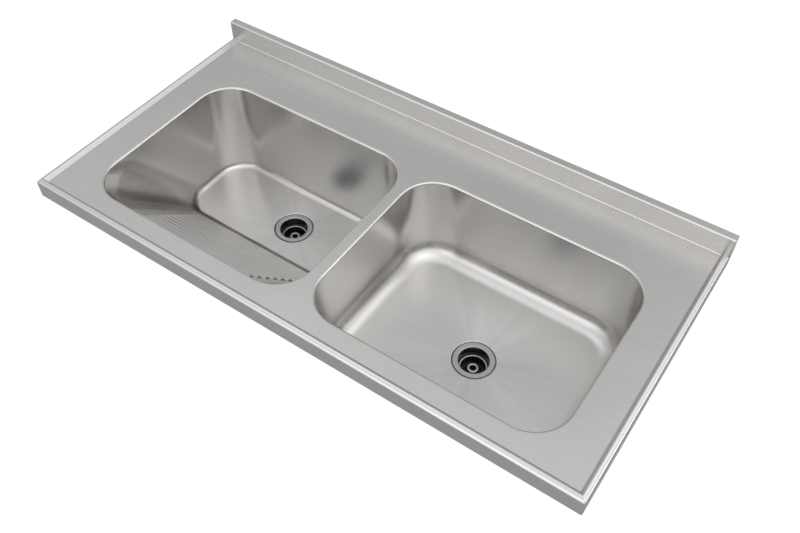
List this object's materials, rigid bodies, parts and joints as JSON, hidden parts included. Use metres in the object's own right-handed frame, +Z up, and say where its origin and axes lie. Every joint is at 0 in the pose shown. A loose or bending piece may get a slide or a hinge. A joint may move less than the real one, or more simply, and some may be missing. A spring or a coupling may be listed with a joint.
{
  "type": "laundry sink",
  "caption": "Steel laundry sink top with a drip rim and rear upstand, a deep tub with a sloping washboard front, a plain bowl, and drains with lift-out strainer baskets.",
  "frame": {"origin": "middle of the plane that the apron's foot rests on", "axes": "+X along the sink to the bowl's end, +Y from front to back, +Z up"},
  "size_m": [1.2, 0.6, 0.3764],
  "materials": {
    "brushed_steel_sheet": "satin, brushed along the sheet",
    "galvanised_steel": "galvanised, dull spangle",
    "damping_felt": "matt bitumen pad",
    "drain_steel": "satin",
    "black_plastic": "moulded, glossy",
    "grey_plastic": "moulded, matt",
    "rubber": "matt"
  },
  "bodies": {
    "sink": {"worktop_sheet": "brushed_steel_sheet", "upstand_end_cap_left": "brushed_steel_sheet", "upstand_end_cap_right": "brushed_steel_sheet", "laundry_tub": "brushed_steel_sheet", "sink_bowl": "brushed_steel_sheet", "front_rail": "galvanised_steel", "rear_rail": "galvanised_steel", "left_rail": "galvanised_steel", "right_rail": "galvanised_steel", "centre_rail": "galvanised_steel", "tub_damping_pads": "damping_felt", "bowl_damping_pads": "damping_felt", "tub_drain_flange_ring": "drain_steel", "tub_drain_top_gasket": "rubber", "tub_drain_cup": "black_plastic", "tub_drain_under_gasket": "rubber", "tub_drain_lock_nut": "grey_plastic", "bowl_drain_flange_ring": "drain_steel", "bowl_drain_top_gasket": "rubber", "bowl_drain_cup": "black_plastic", "bowl_drain_under_gasket": "rubber", "bowl_drain_lock_nut": "grey_plastic"},
    "tub_basket": {"tub_strainer_basket": "drain_steel"},
    "tub_stopper": {"tub_stopper_stem": "black_plastic", "tub_stopper_seal": "rubber"},
    "bowl_basket": {"bowl_strainer_basket": "drain_steel"},
    "bowl_stopper": {"bowl_stopper_stem": "black_plastic", "bowl_stopper_seal": "rubber"}
  },
  "joints": [
    {"name": "tub_basket_lift", "type": "slide", "parent": "sink", "child": "tub_basket", "axis": [0, 0, 1], "range_m": [0, 0.36]},
    {"name": "tub_stopper_lift", "type": "slide", "parent": "tub_basket", "child": "tub_stopper", "axis": [0, 0, 1], "range_m": [0, 0.008]},
    {"name": "bowl_basket_lift", "type": "slide", "parent": "sink", "child": "bowl_basket", "axis": [0, 0, 1], "range_m": [0, 0.33]},
    {"name": "bowl_stopper_lift", "type": "slide", "parent": "bowl_basket", "child": "bowl_stopper", "axis": [0, 0, 1], "range_m": [0, 0.008]}
  ]
}
